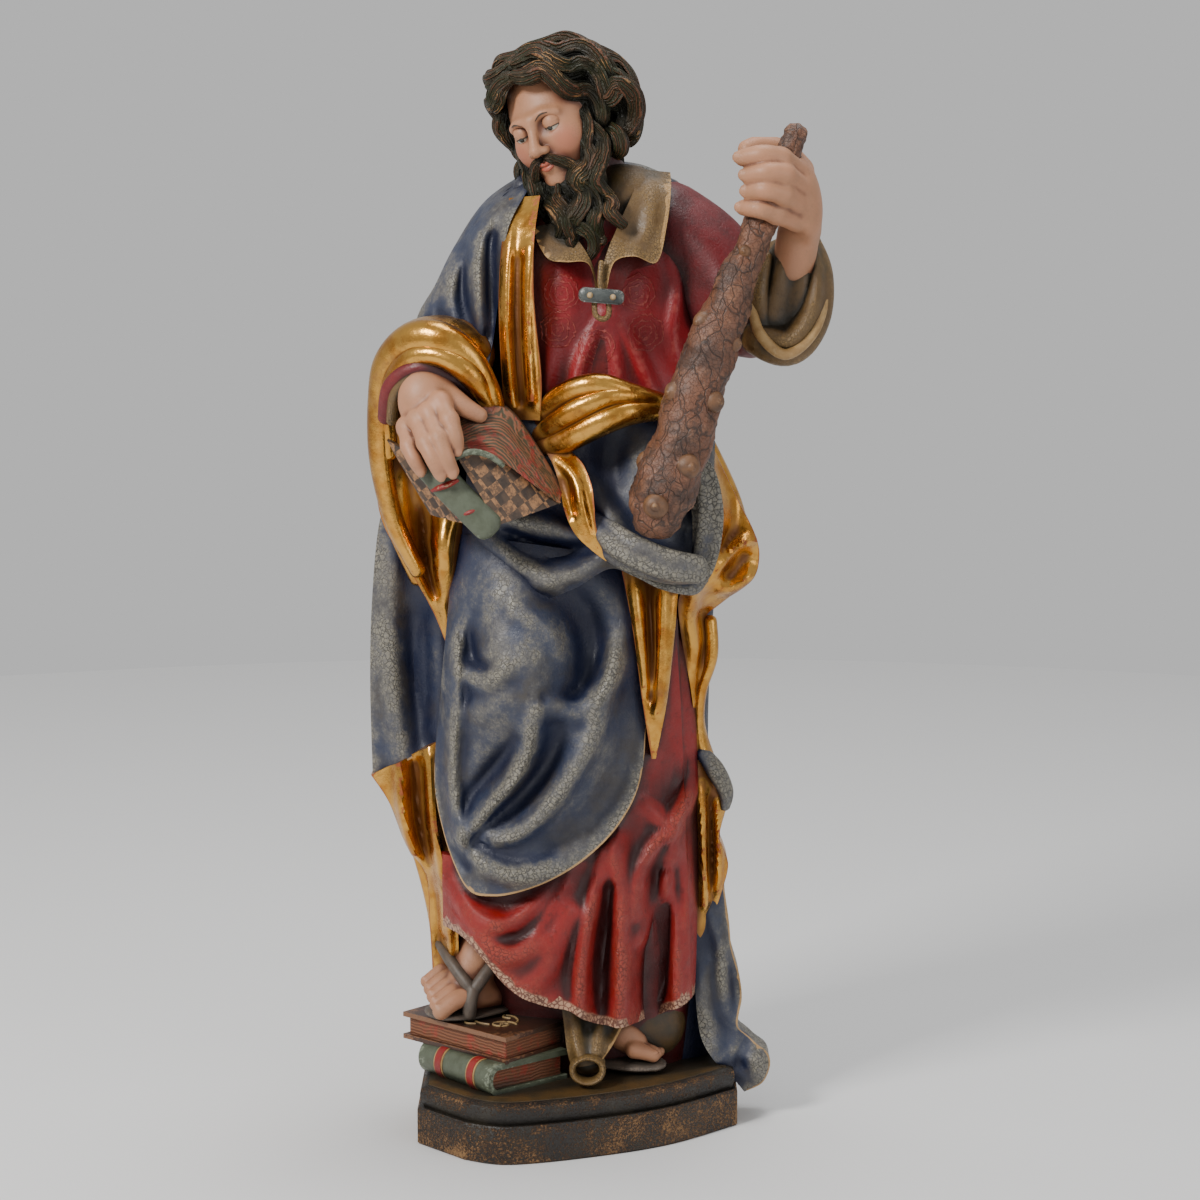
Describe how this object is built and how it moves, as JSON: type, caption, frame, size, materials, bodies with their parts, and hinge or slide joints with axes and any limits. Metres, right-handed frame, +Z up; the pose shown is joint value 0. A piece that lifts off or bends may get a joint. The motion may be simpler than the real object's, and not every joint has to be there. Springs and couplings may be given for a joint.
{
  "type": "carved wooden saint statue",
  "caption": "Painted and gilded carved statue of a bearded man in a draped mantle, with a club in one hand, a book in the other and a foot on closed books, on a low moulded base.",
  "frame": {"origin": "point on the flat underside of the base, below the middle of the standing figure", "axes": "+Z up the figure, -Y the way the figure faces, +X towards the figure's left hand"},
  "size_m": [0.3346, 0.2107, 0.7953],
  "materials": {
    "painted_wood": "aged paint and gilding over carved wood",
    "club_wood": "aged brown paint over carved wood"
  },
  "bodies": {
    "root": {"figure": "painted_wood", "club": "club_wood"}
  },
  "joints": []
}
